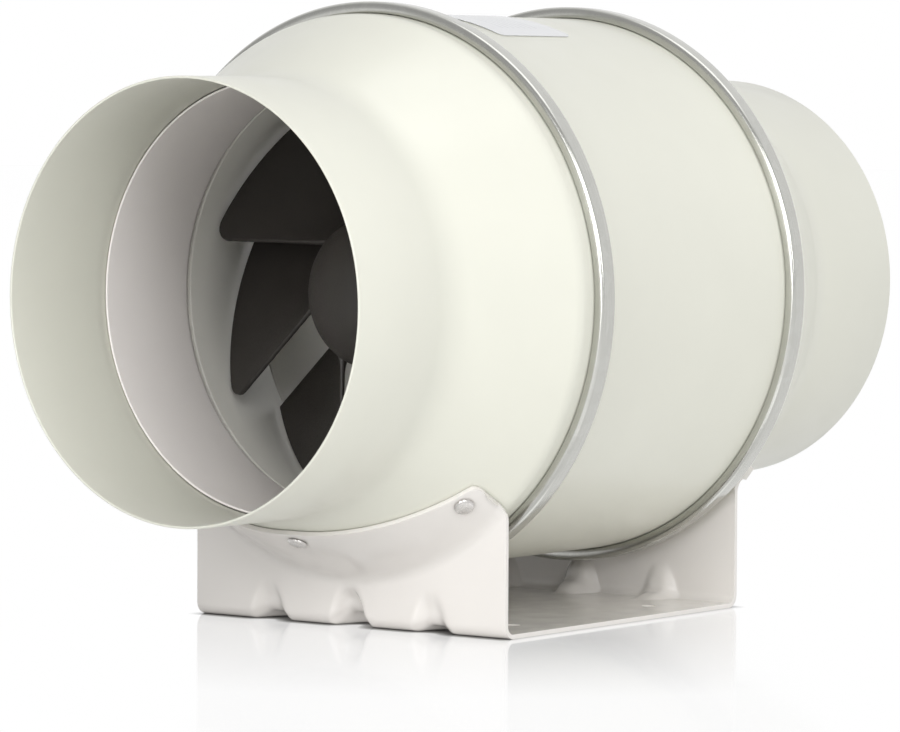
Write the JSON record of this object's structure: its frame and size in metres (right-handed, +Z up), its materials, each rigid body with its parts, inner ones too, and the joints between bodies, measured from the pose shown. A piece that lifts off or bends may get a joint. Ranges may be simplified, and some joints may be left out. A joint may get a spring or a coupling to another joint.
{
  "type": "inline duct fan",
  "caption": "Mixed-flow inline fan for round duct: painted steel casing with a spigot at each end, clamp bands, sheet steel foot, bladed impeller on an internal motor, side terminal box.",
  "frame": {"origin": "middle of the base plate's underside, on the surface the fan stands on", "axes": "+Z up; +Y along the air flow, from the inlet spigot (-Y) to the outlet spigot (+Y); +X to the right seen from the inlet, so the terminal box is on -X"},
  "size_m": [0.3067, 0.43, 0.2856],
  "materials": {
    "casing_paint": "smooth cream powder coat, semi-gloss",
    "bracket_paint": "white powder coat, gloss",
    "liner_paint": "white paint on sheet steel, satin",
    "galvanised_steel": "galvanised sheet steel, soft streaks",
    "zinc_screw": "zinc plated",
    "bright_rivet": "bright blind rivet",
    "charcoal_plastic": "moulded, satin",
    "liner_plastic": "moulded off-white plastic",
    "motor_alloy": "cast, bead blasted",
    "lamination_steel": "stacked laminations, varnished",
    "copper_winding": "enamelled copper wire, varnished",
    "ground_steel": "ground and polished",
    "black_rubber": "matt",
    "box_plastic": "moulded, fine texture",
    "terminal_plastic": "moulded",
    "capacitor_case": "moulded",
    "label_film": "printed film, blank"
  },
  "bodies": {
    "casing": {"inlet_casing": "casing_paint", "centre_casing": "casing_paint", "outlet_casing": "casing_paint", "base_bracket": "bracket_paint", "inlet_ring": "liner_paint", "outlet_ring": "liner_paint", "front_clamp_band": "galvanised_steel", "rear_clamp_band": "galvanised_steel", "front_clamp_bolt": "zinc_screw", "front_clamp_nut": "zinc_screw", "rear_clamp_bolt": "zinc_screw", "rear_clamp_nut": "zinc_screw", "motor_screw_1": "zinc_screw", "motor_screw_2": "zinc_screw", "motor_screw_3": "zinc_screw", "lid_screw_1": "zinc_screw", "lid_screw_2": "zinc_screw", "lid_screw_3": "zinc_screw", "lid_screw_4": "zinc_screw", "inlet_rivet_1": "bright_rivet", "inlet_rivet_2": "bright_rivet", "inlet_rivet_3": "bright_rivet", "outlet_rivet_1": "bright_rivet", "outlet_rivet_2": "bright_rivet", "outlet_rivet_3": "bright_rivet", "impeller_shroud": "liner_plastic", "guide_vane_ring": "liner_plastic", "tail_cone": "liner_plastic", "motor_housing": "motor_alloy", "motor_front_shield": "motor_alloy", "motor_rear_shield": "motor_alloy", "stator_core": "lamination_steel", "front_winding": "copper_winding", "rear_winding": "copper_winding", "front_bearing": "ground_steel", "rear_bearing": "ground_steel", "front_gasket": "black_rubber", "rear_gasket": "black_rubber", "lead_grommet": "black_rubber", "box_seal": "black_rubber", "gland_seal": "black_rubber", "motor_lead": "black_rubber", "terminal_box": "box_plastic", "box_lid": "box_plastic", "gland_body": "box_plastic", "gland_nut": "box_plastic", "terminal_block": "terminal_plastic", "run_capacitor": "capacitor_case", "rating_label": "label_film"},
    "impeller": {"impeller": "charcoal_plastic", "impeller_nut": "zinc_screw", "nose_cap": "charcoal_plastic", "motor_shaft": "ground_steel", "rotor": "lamination_steel"}
  },
  "joints": [
    {"name": "impeller_spin", "type": "hinge", "parent": "casing", "child": "impeller", "pos_m": [0, 0, 0.152], "axis": [0, 1, 0], "continuous": true}
  ]
}
